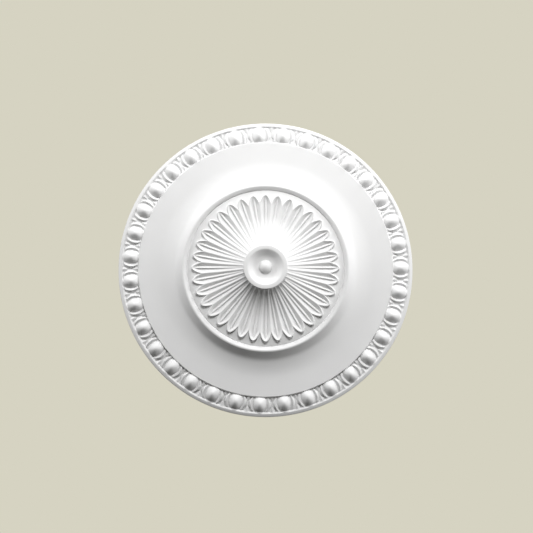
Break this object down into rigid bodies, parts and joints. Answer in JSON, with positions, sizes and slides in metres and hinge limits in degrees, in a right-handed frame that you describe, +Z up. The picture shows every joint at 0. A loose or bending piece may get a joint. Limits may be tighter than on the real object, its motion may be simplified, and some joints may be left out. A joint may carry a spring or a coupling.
{
  "type": "ceiling rose",
  "caption": "Round moulded ceiling rose with an egg and dart border, a plain swept field and a fluted petal centre round a dished boss.",
  "frame": {"origin": "centre of the flat back, on the plane of the ceiling that the rose is fixed to", "axes": "+Z points up out of the flat back into the ceiling and is the turning axis; the ornamented face looks down along -Z; -Y is the top of the face as it is usually pictured and +X its right-hand side"},
  "size_m": [0.4, 0.4, 0.0434],
  "materials": {
    "white_primer": "matt white factory primer on rigid polyurethane foam"
  },
  "bodies": {
    "root": {"ceiling_rose": "white_primer"}
  },
  "joints": []
}
